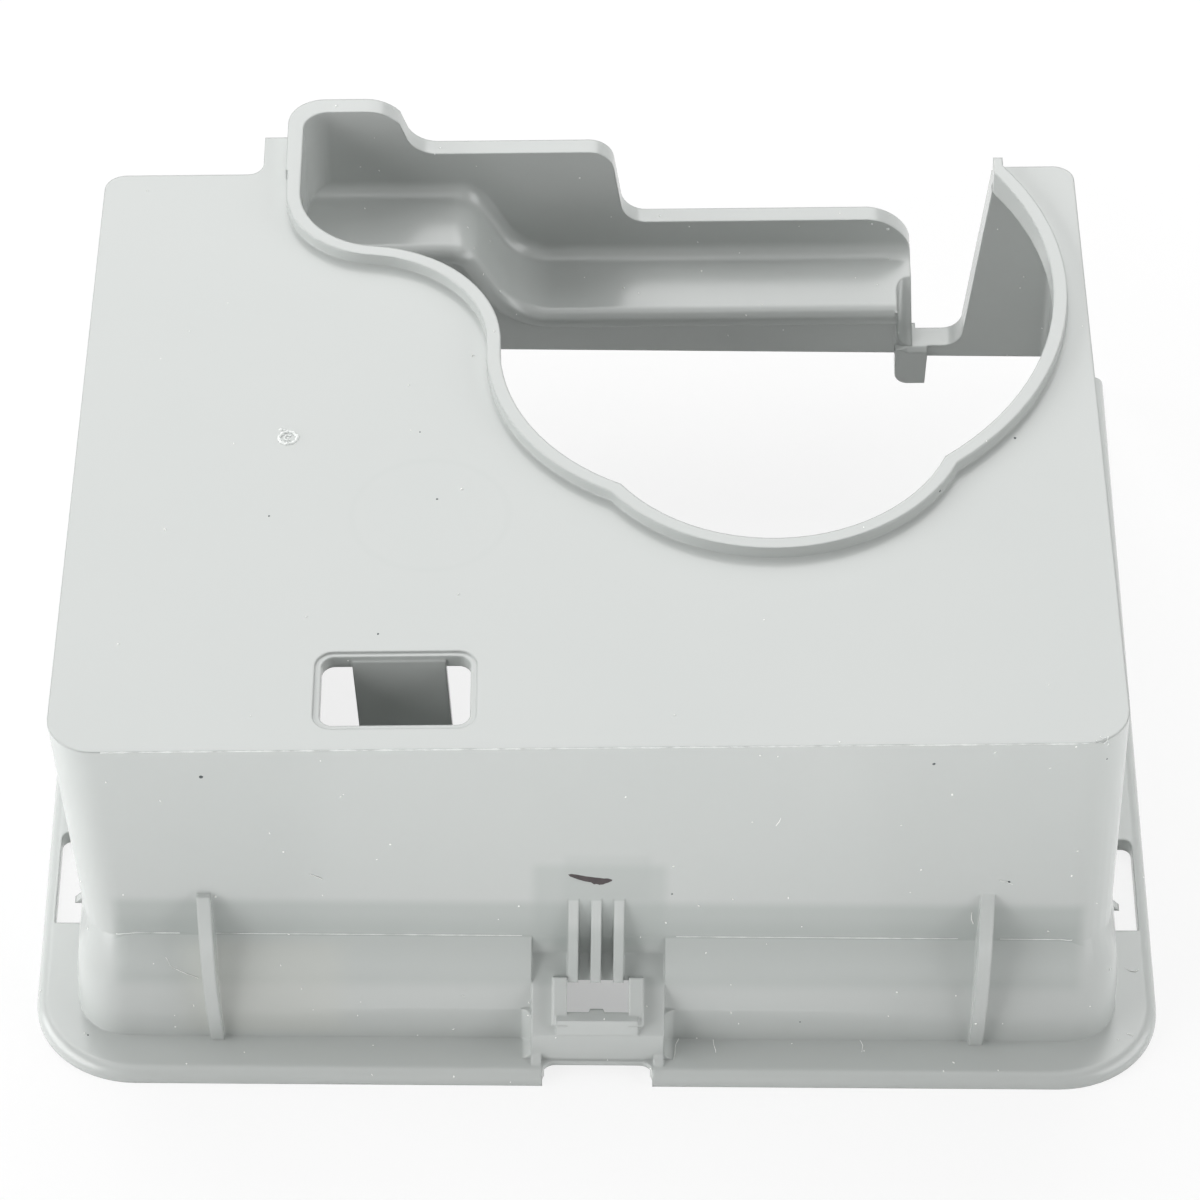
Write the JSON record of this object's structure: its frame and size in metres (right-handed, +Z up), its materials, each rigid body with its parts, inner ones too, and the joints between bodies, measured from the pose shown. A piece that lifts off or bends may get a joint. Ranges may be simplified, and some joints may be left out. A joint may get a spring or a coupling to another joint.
{
  "type": "filter guide",
  "caption": "One-piece moulded recess with a flat mounting flange, a rimmed S-shaped filter opening, a stepped hose pocket at the back and a latch window.",
  "frame": {"origin": "middle of the whole part in X and Y, at the underside of the mounting flange", "axes": "+X along the front edge to the right, +Y from the front to the hose pocket at the back, +Z up from the flange to the plate"},
  "size_m": [0.1728, 0.1574, 0.0658],
  "materials": {
    "moulding": "fine satin moulded polypropylene"
  },
  "bodies": {
    "root": {"filter_guide": "moulding"}
  },
  "joints": []
}
